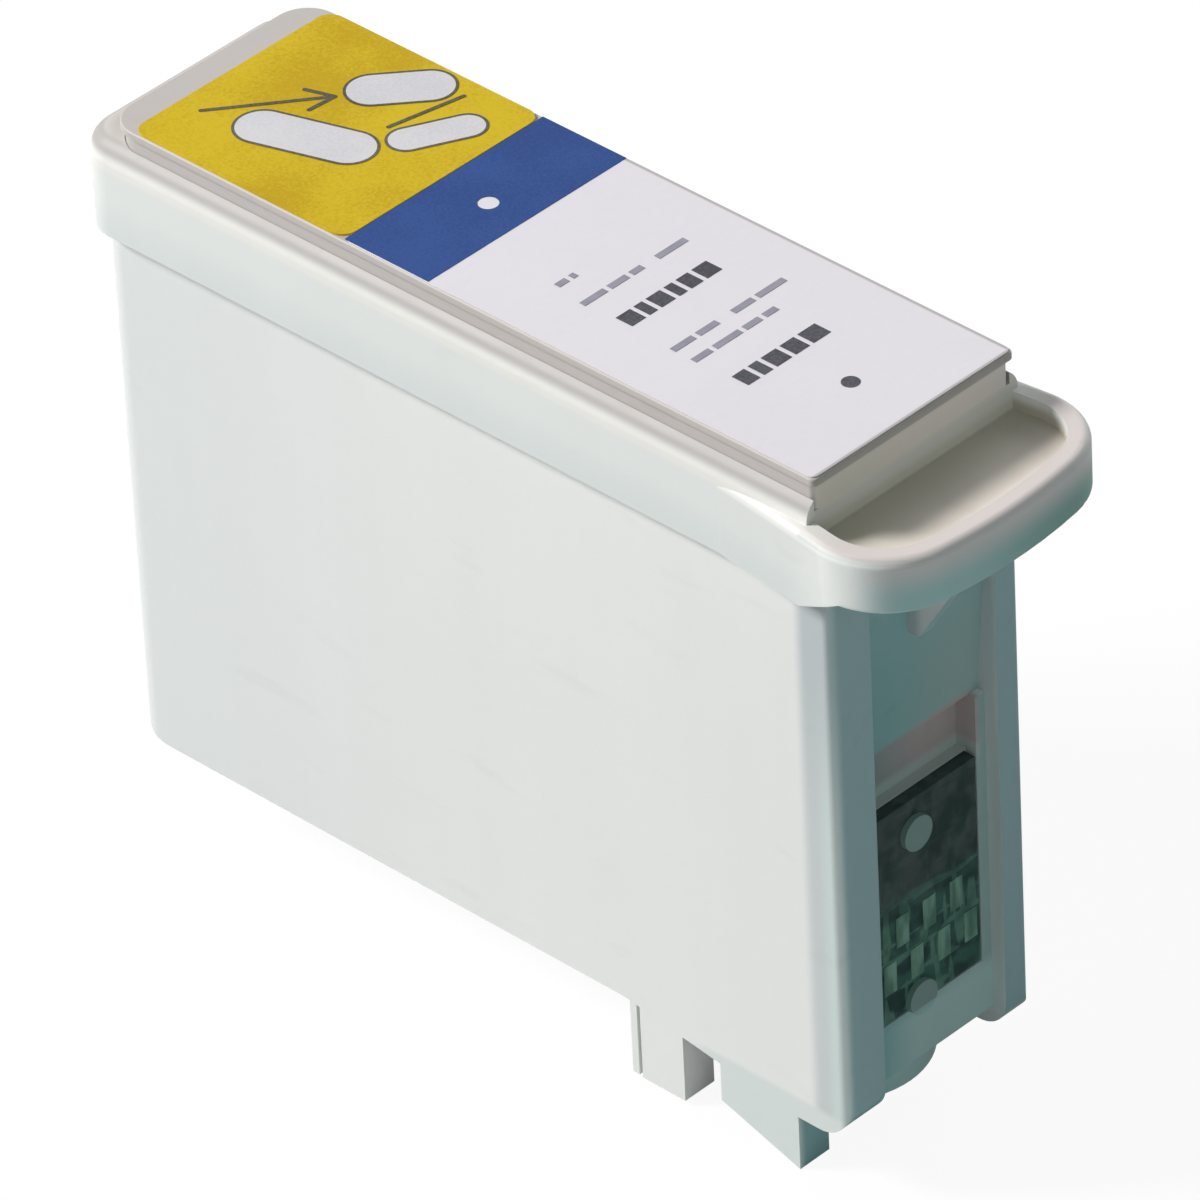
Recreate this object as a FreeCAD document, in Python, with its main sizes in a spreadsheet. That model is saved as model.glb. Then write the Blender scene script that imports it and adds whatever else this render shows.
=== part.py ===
import FreeCAD, Part
import os
import Sketcher

# Ink cartridge with one foam-filled chamber, a lifting lip and a contact board on its narrow front.
# +X runs along the cartridge to the lip, +Y across it and +Z up.
# The origin is under the middle of the whole length, at the level of the lowest foot.

SIZES = {
    # Tank shell. Its height runs from the underside of the rear half to the collar.
    "tank_length": 67.8,
    "tank_width": 18.4,
    "tank_height": 43.55,
    "tank_wall": 1.2,
    "tank_floor": 1.5,
    "front_wall": 4.4,
    "rear_corner_radius": 2.0,
    "front_corner_radius": 0.6,
    "chamber_corner_radius": 1.0,
    "heel_radius": 3.0,
    "toe_radius": 2.6,
    "soft_edge": 0.3,
    # Collar round the top of the tank, which the cover sits in
    "collar_height": 7.85,
    "collar_overhang": 1.06,
    "collar_rear_overhang": 0.95,
    "collar_rim": 0.53,
    "collar_rear_radius": 3.0,
    "collar_rounding": 1.85,
    # Lifting lip. The drop runs from the collar's top down to the lip's top.
    "lip_drop": 1.9,
    "lip_thickness": 4.2,
    "lip_reach": 8.5,
    "lip_flare": 1.89,
    "lip_flare_length": 8.7,
    "lip_blend_start": 0.7,
    "lip_blend_length": 3.5,
    "lip_corner_radius": 6.0,
    "lip_bow": 1.75,
    "lip_top_rounding": 0.7,
    "lip_rim_width": 1.6,
    "shelf_depth": 1.4,
    "lip_wall": 1.4,
    "lip_skin": 1.2,
    "gusset_thickness": 1.2,
    "gusset_reach": 6.2,
    "gusset_drop": 9.9,
    # Cover plate
    "cover_rise": 1.45,
    "cover_rear_inset": 1.9,
    "cover_front_inset": 0.3,
    "cover_reveal": 0.3,
    "cover_brim": 0.55,
    "cover_corner_radius": 2.6,
    "cover_front_radius": 0.5,
    "cover_seat_depth": 1.2,
    "cover_ledge": 0.6,
    "cover_clearance": 0.05,
    "cover_roof": 1.3,
    "cover_wall": 1.6,
    "cover_edge_rounding": 0.15,
    "rib_thickness": 1.0,
    "rib_spread": 7.0,
    "rib_depth": 6.0,
    "fill_hole_radius": 1.5,
    "fill_hole_setback": 16.0,
    "fill_hole_spacing": 14.0,
    # Vent path in the cover's top face
    "vent_film_start": 6.5,
    "vent_film_length": 13.0,
    "vent_film_width": 8.0,
    "vent_film_radius": 1.0,
    "vent_film_fit": 0.1,
    "vent_margin": 1.5,
    "vent_hole_radius": 0.5,
    "vent_groove_width": 0.6,
    "vent_groove_depth": 0.4,
    "vent_groove_pitch": 1.8,
    "vent_run": 10.0,
    "vent_outlet_run": 13.0,
    # Skirt, fins, guides and feet under the front half. A setback runs from the tank's front
    # face, and a rise from the level of the lowest foot.
    "skirt_setback": 20.7,
    "skirt_full_setback": 5.3,
    "skirt_drop": 2.2,
    "skirt_wall": 1.5,
    "apron_rise": 1.8,
    "foot_drop": 7.1,
    "foot_inset": 0.35,
    "foot_gap": 0.15,
    "foot_setback": 12.1,
    "foot_length": 7.2,
    "foot_heel_rise": 2.3,
    "far_foot_rise": 2.6,
    "guide_setback": 19.6,
    "guide_length": 4.0,
    "guide_rise": 0.4,
    "fin_setback": 20.5,
    "fin_thickness": 0.6,
    "fin_rise": 0.5,
    # Ink outlet
    "outlet_setback": 9.6,
    "outlet_rise": 3.5,
    "outlet_wall": 2.6,
    "outlet_passage_radius": 2.3,
    "seal_radius": 4.3,
    "seal_height": 3.8,
    "seal_bore_radius": 1.7,
    "seal_lip_height": 1.2,
    "seal_fit": 0.02,
    "standpipe_wall": 0.78,
    "standpipe_height": 3.5,
    "filter_radius": 4.2,
    "filter_thickness": 0.25,
    "film_thickness": 0.1,
    "film_inset": 1.1,
    # Front channel, a little off the middle
    "channel_offset": 0.75,
    "channel_margin": 1.1,
    "channel_end_gap": 0.55,
    "channel_top_depth": 0.4,
    "channel_low_depth": 1.8,
    "apron_depth": 1.2,
    "slot_depth": 3.0,
    "slot_height": 4.65,
    # Contact board
    "board_width": 9.9,
    "board_height": 17.2,
    "board_rise": 4.6,
    "board_thickness": 1.0,
    "board_clearance": 0.15,
    "board_hole_inset": 2.7,
    "board_notch_rise": 0.6,
    "board_hole_radius": 1.0,
    "stake_offset": 1.2,
    "stake_clearance": 0.1,
    "stake_head_radius": 1.35,
    "stake_head_thickness": 0.45,
    "contact_width": 1.25,
    "contact_height": 2.5,
    "contact_thickness": 0.06,
    "contact_edge_gap": 0.3,
    "contact_rise": 2.35,
    "contact_row_gap": 0.9,
    "chip_radius": 2.4,
    "chip_thickness": 0.5,
    # Foam block
    "foam_clearance": 0.3,
    # Label and pull tape
    "label_thickness": 0.1,
    "label_inset": 0.15,
    "label_radius": 0.5,
    "label_start": 24.7,
    "tape_start": 4.4,
    "tape_thickness": 0.15,
    "tape_radius": 1.2,
    "tape_gap": 0.05,
    "ink_thickness": 0.03,
    "band_length": 7.8,
    "band_spot_radius": 0.75,
    "band_spot_inset": 4.4,
    "band_spot_offset": 0.3,
    # Printed strokes, by half their width
    "bold_line": 0.75,
    "fine_line": 0.28,
    "round_mark": 0.65,
    "near_tab": 1.9,
    "far_tab": 1.8,
    "cross_tab": 1.3,
    "arrow_line": 0.17,
    "outline": 0.22,
}

# Print on the white field. Each row of bars gives its place along the field, the bars' size name,
# and where each bar starts and ends across it. All places are shares of the field that the print
# lies on: along it from its rear end, and across it from its middle.
LABEL_ROWS = (
    (0.198, "fine_line", ((-0.23, -0.18), (-0.16, -0.136))),
    (0.278, "fine_line", ((-0.256, -0.14), (-0.12, -0.03), (-0.01, 0.047), (0.12, 0.266))),
    (0.379, "bold_line", (
        (-0.24, -0.17), (-0.151, -0.11), (-0.09, -0.02), (0.0, 0.04), (0.06, 0.12), (0.14, 0.214),
    )),
    (0.514, "fine_line", ((-0.256, -0.15), (-0.13, -0.031), (0.047, 0.15), (0.17, 0.308))),
    (0.568, "fine_line", ((-0.256, -0.17), (-0.15, -0.02), (0.0, 0.08), (0.1, 0.162))),
    (0.68, "bold_line", ((-0.24, -0.18), (-0.16, -0.115), (-0.095, -0.02), (0.0, 0.07), (0.09, 0.177))),
)
ROUND_MARK = (0.841, 0.0)

# Print on the tape, as strokes with round ends: one end, the other end and the size name.
PALE_STROKES = (
    ((0.326, -0.188), (0.637, -0.084), "near_tab"),
    ((0.454, 0.23), (0.583, 0.381), "far_tab"),
    ((0.751, 0.084), (0.849, 0.282), "cross_tab"),
)
DARK_STROKES = (
    ((0.099, -0.256), (0.385, 0.115), "arrow_line"),
    ((0.385, 0.115), (0.277, 0.078), "arrow_line"),
    ((0.385, 0.115), (0.375, -0.005), "arrow_line"),
    ((0.652, 0.099), (0.716, 0.412), "arrow_line"),
)

UPPER_CONTACTS = 3
LOWER_CONTACTS = 4
VENT_RUNS = 3
CHECK_TOLERANCE = 1e-6


def value_of(term):
    """The number that a size or a plain number stands for."""
    return term.value if isinstance(term, Size) else float(term)


def formula_of(term):
    """The sheet formula of a size or a plain number."""
    return term.formula if isinstance(term, Size) else repr(float(term))


class Size:
    """A length that carries its value and the sheet formula that gives it."""

    def __init__(self, value, formula):
        self.value = value
        self.formula = formula

    def __add__(self, other):
        return Size(self.value + value_of(other), f"({self.formula} + {formula_of(other)})")

    def __sub__(self, other):
        return Size(self.value - value_of(other), f"({self.formula} - {formula_of(other)})")

    def __mul__(self, other):
        return Size(self.value * value_of(other), f"({self.formula} * {formula_of(other)})")

    def __truediv__(self, other):
        return Size(self.value / value_of(other), f"({self.formula} / {formula_of(other)})")

    def __neg__(self):
        return Size(-self.value, f"(0 - {self.formula})")


class Sizes:
    """The sheet's cells as sizes, and the places that several sub-parts share."""

    def __init__(self):
        for name, number in SIZES.items():
            setattr(self, name, Size(number, f"Sizes.{name}"))
        overall = self.collar_rear_overhang + self.tank_length + self.lip_reach
        self.collar_back = -overall / 2
        self.tank_back = self.collar_back + self.collar_rear_overhang
        self.tank_front = self.tank_back + self.tank_length
        self.lip_front = self.tank_front + self.lip_reach
        self.cover_back = self.tank_back + self.cover_rear_inset
        self.cover_front = self.tank_front - self.cover_front_inset
        self.plug_back = self.cover_back + self.cover_reveal
        self.plug_front = self.cover_front - self.cover_reveal
        self.cavity_back = self.plug_back + self.cover_ledge
        self.cavity_front = self.tank_front - self.front_wall

        self.tank_side = self.tank_width / 2
        self.collar_side = self.tank_side + self.collar_overhang
        self.lip_side = self.collar_side + self.lip_flare
        self.cover_side = self.collar_side - self.collar_rim
        self.plug_side = self.cover_side - self.cover_reveal
        self.label_side = self.cover_side - self.label_inset
        self.cavity_side = self.tank_side - self.tank_wall

        self.underside = self.foot_drop
        self.floor_top = self.underside + self.tank_floor
        self.floor_middle = self.underside + self.tank_floor / 2
        self.skirt_low = self.underside - self.skirt_drop
        self.apron_low = self.skirt_low + self.apron_rise
        self.collar_bottom = self.underside + self.tank_height
        self.collar_top = self.collar_bottom + self.collar_height
        self.lip_top = self.collar_top - self.lip_drop
        self.lip_bottom = self.lip_top - self.lip_thickness
        self.shelf_floor = self.lip_top - self.shelf_depth
        self.shelf_underside = self.shelf_floor - self.lip_skin
        self.cover_top = self.collar_top + self.cover_rise
        self.cover_seat = self.collar_top - self.cover_seat_depth
        self.foam_top = self.cover_seat - self.rib_depth
        self.label_top = self.cover_top + self.label_thickness
        self.tape_top = self.cover_top + self.tape_thickness

        self.outlet_x = self.tank_front - self.outlet_setback
        self.boss_radius = self.seal_radius + self.outlet_wall
        self.film_radius = self.boss_radius - self.film_inset
        self.standpipe_radius = self.filter_radius + self.seal_fit + self.standpipe_wall
        self.filter_seat = self.floor_top + self.standpipe_height

        self.board_front = self.tank_front - self.apron_depth
        self.board_back = self.board_front - self.board_thickness
        self.board_low = self.apron_low + self.board_rise
        self.board_top = self.board_low + self.board_height
        self.chip_centre = (self.channel_offset, self.board_low + self.board_height / 2)
        self.stake_y = self.channel_offset - self.stake_offset
        self.hole_level = self.board_top - self.board_hole_inset
        self.notch_level = self.board_low + self.board_notch_rise
        self.channel_break = self.board_top + self.board_clearance + self.slot_height
        self.channel_width = self.board_width + self.channel_margin * 2

        self.label_back = self.along(self.label_start)
        self.label_front = self.cover_front - self.label_inset
        self.band_front = self.label_back + self.band_length
        self.tape_back = self.along(self.tape_start)
        self.vent_start = self.along(self.vent_film_start) + self.vent_margin
        self.tape_front = self.label_back - self.tape_gap

    def along(self, from_rear):
        """A place given from the tank's rear wall."""
        return self.tank_back + from_rear

    def setback(self, from_front):
        """A place given from the tank's front face."""
        return self.tank_front - from_front

    def on_field(self, back, front, share):
        """A place on a printed field, from its shares along and across it."""
        along, across = share
        return back + (front - back) * along, self.label_side * (across * 2) if across else 0


def make_sheet(document):
    """The driving dimensions, one alias a row."""
    sheet = document.addObject("Spreadsheet::Sheet", "Sizes")
    for row, (name, number) in enumerate(SIZES.items(), start=1):
        sheet.set(f"A{row}", name)
        sheet.set(f"B{row}", str(number))
        sheet.setAlias(f"B{row}", name)
    document.recompute()


def bind(target, path, size):
    """Ties one property to its formula."""
    target.setExpression(path, formula_of(size))


def new_sketch(body, name, role, offset=None):
    """A sketch on one of the body's own origin planes, moved along its normal by an offset."""
    sketch = body.newObject("Sketcher::SketchObject", name)
    plane = next(feature for feature in body.Origin.OriginFeatures if feature.Role == role)
    sketch.AttachmentSupport = [(plane, "")]
    sketch.MapMode = "FlatFace"
    if offset is not None:
        bind(sketch, "AttachmentOffset.Base.z", offset)
    return sketch


def constrain(sketch, kind, *references, size=None):
    """Adds one constraint, and ties its datum to a formula where it has a size."""
    if size is None:
        sketch.addConstraint(Sketcher.Constraint(kind, *references))
        return
    index = sketch.addConstraint(Sketcher.Constraint(kind, *references, value_of(size)))
    sketch.setExpression(f"Constraints[{index}]", formula_of(size))


def place_point(sketch, geometry, position, x, y):
    """Fixes one point of a line or arc at a place worked out from the sheet. 0 means on an axis."""
    for kind, axis, term in (("DistanceX", -2, x), ("DistanceY", -1, y)):
        if isinstance(term, Size) and abs(term.value) > CHECK_TOLERANCE:
            constrain(sketch, kind, -1, 1, geometry, position, size=term)
        else:
            constrain(sketch, "PointOnObject", geometry, position, axis)


def vector(x, y):
    return FreeCAD.Vector(value_of(x), value_of(y), 0)


def draw_polygon(sketch, corners):
    """A closed outline of straight runs. A coordinate is a size, or 0 on an axis."""
    first = sketch.GeometryCount
    count = len(corners)
    for index, (x, y) in enumerate(corners):
        next_x, next_y = corners[(index + 1) % count]
        sketch.addGeometry(Part.LineSegment(vector(x, y), vector(next_x, next_y)), False)
    for index, (x, y) in enumerate(corners):
        following = first + (index + 1) % count
        constrain(sketch, "Coincident", first + index, 2, following, 1)
        place_point(sketch, first + index, 1, x, y)


def draw_rounded_box(sketch, x_low, x_high, y_low, y_high, low_radius, high_radius):
    """A rectangle whose corners at low x and at high x have a radius each."""
    first = sketch.GeometryCount
    left, right, bottom, top = (value_of(term) for term in (x_low, x_high, y_low, y_high))
    low, high = value_of(low_radius), value_of(high_radius)
    right_angle = 1.5707963267948966
    lines = (
        ((left + low, bottom), (right - high, bottom)),
        ((right, bottom + high), (right, top - high)),
        ((right - high, top), (left + low, top)),
        ((left, top - low), (left, bottom + low)),
    )
    arcs = (
        (right - high, bottom + high, high, 3),
        (right - high, top - high, high, 0),
        (left + low, top - low, low, 1),
        (left + low, bottom + low, low, 2),
    )
    for start, end in lines:
        sketch.addGeometry(Part.LineSegment(vector(*start), vector(*end)), False)
    for centre_x, centre_y, radius, quarter in arcs:
        circle = Part.Circle(vector(centre_x, centre_y), FreeCAD.Vector(0, 0, 1), radius)
        start_angle = quarter * right_angle
        sketch.addGeometry(Part.ArcOfCircle(circle, start_angle, start_angle + right_angle), False)
    for side in range(4):
        line = first + side
        arc = first + 4 + side
        constrain(sketch, "Tangent", line, 2, arc, 1)
        constrain(sketch, "Tangent", arc, 2, first + (side + 1) % 4, 1)
    constrain(sketch, "Horizontal", first)
    constrain(sketch, "Vertical", first + 1)
    constrain(sketch, "Horizontal", first + 2)
    constrain(sketch, "Vertical", first + 3)
    constrain(sketch, "Radius", first + 4, size=high_radius)
    constrain(sketch, "Equal", first + 4, first + 5)
    constrain(sketch, "Radius", first + 6, size=low_radius)
    constrain(sketch, "Equal", first + 6, first + 7)
    constrain(sketch, "DistanceY", -1, 1, first, 1, size=y_low)
    constrain(sketch, "DistanceX", -1, 1, first + 1, 1, size=x_high)
    constrain(sketch, "DistanceY", -1, 1, first + 2, 1, size=y_high)
    constrain(sketch, "DistanceX", -1, 1, first + 3, 1, size=x_low)


def draw_circle(sketch, x, y, radius):
    circle = Part.Circle(vector(x, y), FreeCAD.Vector(0, 0, 1), value_of(radius))
    index = sketch.addGeometry(circle, False)
    place_point(sketch, index, 3, x, y)
    constrain(sketch, "Radius", index, size=radius)


def draw_stroke(sketch, start, end, half_width):
    """A straight stroke with round ends, from its two end centres."""
    first = sketch.GeometryCount
    up = FreeCAD.Vector(0, 0, 1)
    radius = value_of(half_width)
    begin, finish = vector(*start), vector(*end)
    across = up.cross(finish - begin).normalize() * radius
    lead = (finish - begin).normalize() * radius
    sketch.addGeometry(Part.LineSegment(begin - across, finish - across), False)
    sketch.addGeometry(Part.Arc(finish - across, finish + lead, finish + across), False)
    sketch.addGeometry(Part.LineSegment(finish + across, begin + across), False)
    sketch.addGeometry(Part.Arc(begin + across, begin - lead, begin - across), False)
    for side in range(4):
        constrain(sketch, "Tangent", first + side, 2, first + (side + 1) % 4, 1)
    place_point(sketch, first + 1, 3, *end)
    place_point(sketch, first + 3, 3, *start)
    constrain(sketch, "Radius", first + 1, size=half_width)


def draw_corner_waste(sketch, corner_x, corner_z, radius, outward_x, outward_z):
    """The waste outside a rounded corner. Outward is 1 or -1 along each axis."""
    inner_x = corner_x - radius * outward_x
    inner_z = corner_z - radius * outward_z
    outer_x = corner_x + radius * outward_x
    outer_z = corner_z + radius * outward_z
    on_wall, on_level = (corner_x, inner_z), (inner_x, corner_z)
    corners = (on_wall, (outer_x, inner_z), (outer_x, outer_z), (inner_x, outer_z), on_level)
    for start, end in zip(corners, corners[1:]):
        sketch.addGeometry(Part.LineSegment(vector(*start), vector(*end)), False)
    centre = vector(inner_x, inner_z)
    middle = centre + (vector(corner_x, corner_z) - centre).normalize() * value_of(radius)
    level_end, wall_end = (1, 2) if outward_x * outward_z < 0 else (2, 1)
    first, last = (on_level, on_wall) if level_end == 1 else (on_wall, on_level)
    sketch.addGeometry(Part.Arc(vector(*first), middle, vector(*last)), False)
    for index, (x, z) in enumerate(corners[:4]):
        place_point(sketch, index, 1, x, z)
    for index in range(3):
        constrain(sketch, "Coincident", index, 2, index + 1, 1)
    place_point(sketch, 3, 2, *on_level)
    constrain(sketch, "Coincident", 3, 2, 4, level_end)
    constrain(sketch, "Coincident", 0, 1, 4, wall_end)
    constrain(sketch, "Radius", 4, size=radius)


def extrude(body, kind, name, sketch, length, reverse=False, symmetric=False):
    """A pad or a pocket of one sketch."""
    feature = body.newObject(f"PartDesign::{kind}", name)
    feature.Profile = sketch
    bind(feature, "Length", length)
    feature.Reversed = reverse
    if symmetric:
        feature.SideType = "Symmetric"
    return feature


def pad(body, name, sketch, length, **options):
    return extrude(body, "Pad", name, sketch, length, **options)


def pocket(body, name, sketch, length, **options):
    """A cut that must take material away, checked by the volume before and after it."""
    body.Document.recompute()
    before = body.Shape.Volume
    feature = extrude(body, "Pocket", name, sketch, length, **options)
    body.Document.recompute()
    if not body.Shape.Volume < before - CHECK_TOLERANCE:
        raise RuntimeError(f"{name} cuts nothing")
    return feature


def round_edges(body, name, radius, wanted):
    """A fillet on the edges of the body for which the test says yes."""
    body.Document.recompute()
    base = body.Tip
    names = [
        f"Edge{number}"
        for number, edge in enumerate(base.Shape.Edges, start=1)
        if wanted(edge.BoundBox)
    ]
    if not names:
        raise RuntimeError(f"{name} finds no edge")
    fillet = body.newObject("PartDesign::Fillet", name)
    fillet.Base = (base, names)
    bind(fillet, "Radius", radius)


def mirror_across(body, name, originals):
    """The same features on the other long side."""
    feature = body.newObject("PartDesign::Mirrored", name)
    feature.Originals = originals
    plane = next(item for item in body.Origin.OriginFeatures if item.Role == "XZ_Plane")
    feature.MirrorPlane = (plane, [""])
    body.Tip = feature


def near(number, size, allowance=0.02):
    return abs(number - value_of(size)) < allowance


def flat_at(box, level):
    """An edge that lies in one level plane."""
    return near(box.ZMin, level) and near(box.ZMax, level)


def draw_lip_outline(sketch, s, back, inset=0):
    """The lip's plan: flared sides, round corners and a bowed front, all drawn in by an inset."""
    aim_x = s.lip_front - s.lip_bow
    half_end = s.lip_side
    flare_start = s.setback(s.lip_flare_length)
    flare_share = (back - flare_start) / (aim_x - flare_start)
    half_back = s.collar_side + s.lip_flare * flare_share - inset
    outer_bow = (half_end * half_end + s.lip_bow * s.lip_bow) / (s.lip_bow * 2)
    bow_radius = outer_bow - inset
    bow_x = s.lip_front - outer_bow
    corner_radius = s.lip_corner_radius - inset

    start = vector(back, -half_back)
    along = (vector(aim_x, -(half_end - inset)) - start).normalize()
    inward = FreeCAD.Vector(-along.y, along.x, 0)
    radius = corner_radius.value
    reach = bow_radius.value - radius
    bow_centre = vector(bow_x, 0)
    offset = start + inward * radius - bow_centre
    run = -offset.dot(along) + (offset.dot(along) ** 2 - offset.dot(offset) + reach ** 2) ** 0.5
    centre = start + along * run + inward * radius
    on_side = start + along * run
    on_bow = bow_centre + (centre - bow_centre) * (bow_radius.value / reach)
    on_corner = centre + (on_side + on_bow - centre * 2).normalize() * radius
    front = vector(bow_x + bow_radius, 0)

    def far(point):
        return FreeCAD.Vector(point.x, -point.y, 0)

    for curve in (
        Part.LineSegment(start, on_side),
        Part.Arc(on_side, on_corner, on_bow),
        Part.Arc(on_bow, front, far(on_bow)),
        Part.Arc(far(on_bow), far(on_corner), far(on_side)),
        Part.LineSegment(far(on_side), far(start)),
        Part.LineSegment(far(start), start),
    ):
        sketch.addGeometry(curve, False)
    for index in range(4):
        constrain(sketch, "Tangent", index, 2, index + 1, 1)
    constrain(sketch, "Coincident", 4, 2, 5, 1)
    constrain(sketch, "Coincident", 5, 2, 0, 1)
    for line, position, sign in ((0, 1, -1), (4, 2, 1)):
        aim = sketch.addGeometry(Part.Point(vector(aim_x, (half_end - inset) * sign)), True)
        place_point(sketch, aim, 1, aim_x, (half_end - inset) * sign)
        constrain(sketch, "PointOnObject", aim, 1, line)
        place_point(sketch, line, position, back, half_back * sign)
    place_point(sketch, 2, 3, bow_x, 0)
    constrain(sketch, "Radius", 2, size=bow_radius)
    constrain(sketch, "Radius", 1, size=corner_radius)
    constrain(sketch, "Equal", 1, 3)


def make_lip(body, s):
    """The lifting lip: flared sides, bowed front, round corners and an underside that blends in."""
    flare_start = s.setback(s.lip_flare_length)
    plan = new_sketch(body, "lip_plan", "XY_Plane", s.collar_bottom)
    draw_lip_outline(plan, s, flare_start)
    pad(body, "lip_plate", plan, s.lip_top - s.collar_bottom)

    blend_start = s.setback(s.lip_blend_start)
    beyond = s.lip_front + s.lip_reach
    wedge = new_sketch(body, "lip_underside_profile", "XZ_Plane")
    draw_polygon(wedge, (
        (blend_start, s.collar_bottom), (blend_start + s.lip_blend_length, s.lip_bottom),
        (beyond, s.lip_bottom), (beyond, s.collar_bottom),
    ))
    pocket(body, "lip_underside", wedge, s.lip_side * 4, symmetric=True)
    round_edges(
        body, "lip_top_edge", s.lip_top_rounding,
        lambda box: flat_at(box, s.lip_top) and not near(box.XMax, flare_start),
    )
    round_edges(
        body, "lip_low_edge", s.soft_edge,
        lambda box: flat_at(box, s.lip_bottom) and near(box.XMax, s.lip_front, s.lip_bow.value + 1),
    )


def make_collar(body, s):
    """The collar, with rear corners and a shoulder that rounds over along its sides and rear."""
    plan = new_sketch(body, "collar_plan", "XY_Plane", s.collar_bottom)
    draw_polygon(plan, (
        (s.collar_back, -s.collar_side), (s.plug_front, -s.collar_side),
        (s.plug_front, s.collar_side), (s.collar_back, s.collar_side),
    ))
    pad(body, "collar", plan, s.collar_top - s.collar_bottom)
    round_edges(
        body, "collar_rear_corners", s.collar_rear_radius,
        lambda box: near(box.XMax, s.collar_back) and box.ZLength > 1 and box.YLength < 1,
    )
    round_edges(
        body, "collar_shoulder", s.collar_rounding,
        lambda box: flat_at(box, s.collar_top) and not near(box.XMin, s.plug_front),
    )


def make_tank_shell(body, s):
    """Chamber walls, with the sloping belly and the rounded heel and toe."""
    walls = new_sketch(body, "wall_plan", "XY_Plane", s.skirt_low)
    draw_rounded_box(
        walls, s.tank_back, s.tank_front, -s.tank_side, s.tank_side,
        s.rear_corner_radius, s.front_corner_radius,
    )
    pad(body, "walls", walls, s.shelf_floor - s.lip_skin / 2 - s.skirt_low)

    below = s.skirt_low - s.skirt_drop
    belly = new_sketch(body, "belly_profile", "XZ_Plane")
    draw_polygon(belly, (
        (s.collar_back, below), (s.collar_back, s.underside),
        (s.setback(s.skirt_setback), s.underside),
        (s.setback(s.skirt_full_setback), s.skirt_low), (s.setback(s.skirt_full_setback), below),
    ))
    pocket(body, "belly", belly, s.tank_width * 2, symmetric=True)
    heel = new_sketch(body, "heel_profile", "XZ_Plane")
    draw_corner_waste(heel, s.tank_back, s.underside, s.heel_radius, -1, -1)
    pocket(body, "heel", heel, s.tank_width * 2, symmetric=True)
    toe = new_sketch(body, "toe_profile", "XZ_Plane")
    draw_corner_waste(toe, s.tank_front, s.skirt_low, s.toe_radius, 1, -1)
    pocket(body, "toe", toe, s.tank_width * 2, symmetric=True)


def make_tank_cavity(body, s):
    """Chamber, cover seat, and the shelf above and the hollow below the lip's skin."""
    chamber = new_sketch(body, "chamber_plan", "XY_Plane", s.collar_top)
    draw_rounded_box(
        chamber, s.cavity_back, s.cavity_front, -s.cavity_side, s.cavity_side,
        s.chamber_corner_radius, s.chamber_corner_radius,
    )
    pocket(body, "chamber", chamber, s.collar_top - s.floor_top)

    seat_side = s.plug_side + s.cover_clearance
    seat = new_sketch(body, "seat_plan", "XY_Plane", s.collar_top)
    draw_rounded_box(
        seat, s.plug_back - s.cover_clearance, s.lip_front, -seat_side, seat_side,
        s.cover_corner_radius - s.cover_reveal + s.cover_clearance, s.cover_front_radius,
    )
    pocket(body, "cover_seat", seat, s.cover_seat_depth)

    shelf = new_sketch(body, "shelf_plan", "XY_Plane", s.lip_top)
    draw_lip_outline(shelf, s, s.plug_front, s.lip_rim_width)
    pocket(body, "shelf", shelf, s.shelf_depth)

    hollow = new_sketch(body, "hollow_plan", "XY_Plane", s.collar_bottom)
    draw_lip_outline(hollow, s, s.tank_front, s.lip_wall)
    pocket(body, "lip_hollow", hollow, s.shelf_underside - s.collar_bottom, reverse=True)


def make_front_channel(body, s):
    """The sloping channel, the contact board's pocket and the finger slot over it."""
    outside = s.tank_front + s.apron_depth
    below = s.skirt_low - s.skirt_drop
    channel_top = s.collar_bottom - s.channel_end_gap
    channel = new_sketch(body, "channel_profile", "XZ_Plane", -s.channel_offset)
    draw_polygon(channel, (
        (outside, channel_top),
        (s.setback(s.channel_top_depth), channel_top),
        (s.setback(s.channel_low_depth), s.channel_break),
        (s.board_front, s.channel_break),
        (s.board_front, below),
        (outside, below),
    ))
    pocket(body, "channel", channel, s.channel_width, symmetric=True)

    behind = s.board_back - s.skirt_wall
    apron = new_sketch(body, "apron_profile", "XZ_Plane", -s.channel_offset)
    draw_polygon(apron, (
        (behind, below), (outside, below), (outside, s.apron_low), (behind, s.apron_low),
    ))
    pocket(body, "apron_edge", apron, s.channel_width, symmetric=True)

    half_width = s.board_width / 2 + s.board_clearance
    low_y, high_y = s.channel_offset - half_width, s.channel_offset + half_width
    pocket_low, pocket_high = s.board_low - s.board_clearance, s.board_top + s.board_clearance
    seat = new_sketch(body, "board_seat_face", "YZ_Plane", s.board_front)
    draw_polygon(seat, (
        (low_y, pocket_low), (high_y, pocket_low), (high_y, pocket_high), (low_y, pocket_high),
    ))
    pocket(body, "board_seat", seat, s.board_thickness)

    slot = new_sketch(body, "slot_face", "YZ_Plane", s.board_front)
    draw_polygon(slot, (
        (low_y, pocket_high), (high_y, pocket_high),
        (high_y, s.channel_break), (low_y, s.channel_break),
    ))
    pocket(body, "slot", slot, s.slot_depth - s.apron_depth)

    chip = new_sketch(body, "chip_recess_face", "YZ_Plane", s.board_back)
    draw_circle(chip, *s.chip_centre, s.chip_radius + s.board_clearance)
    pocket(body, "chip_recess", chip, s.chip_thickness + s.board_clearance)


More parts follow.
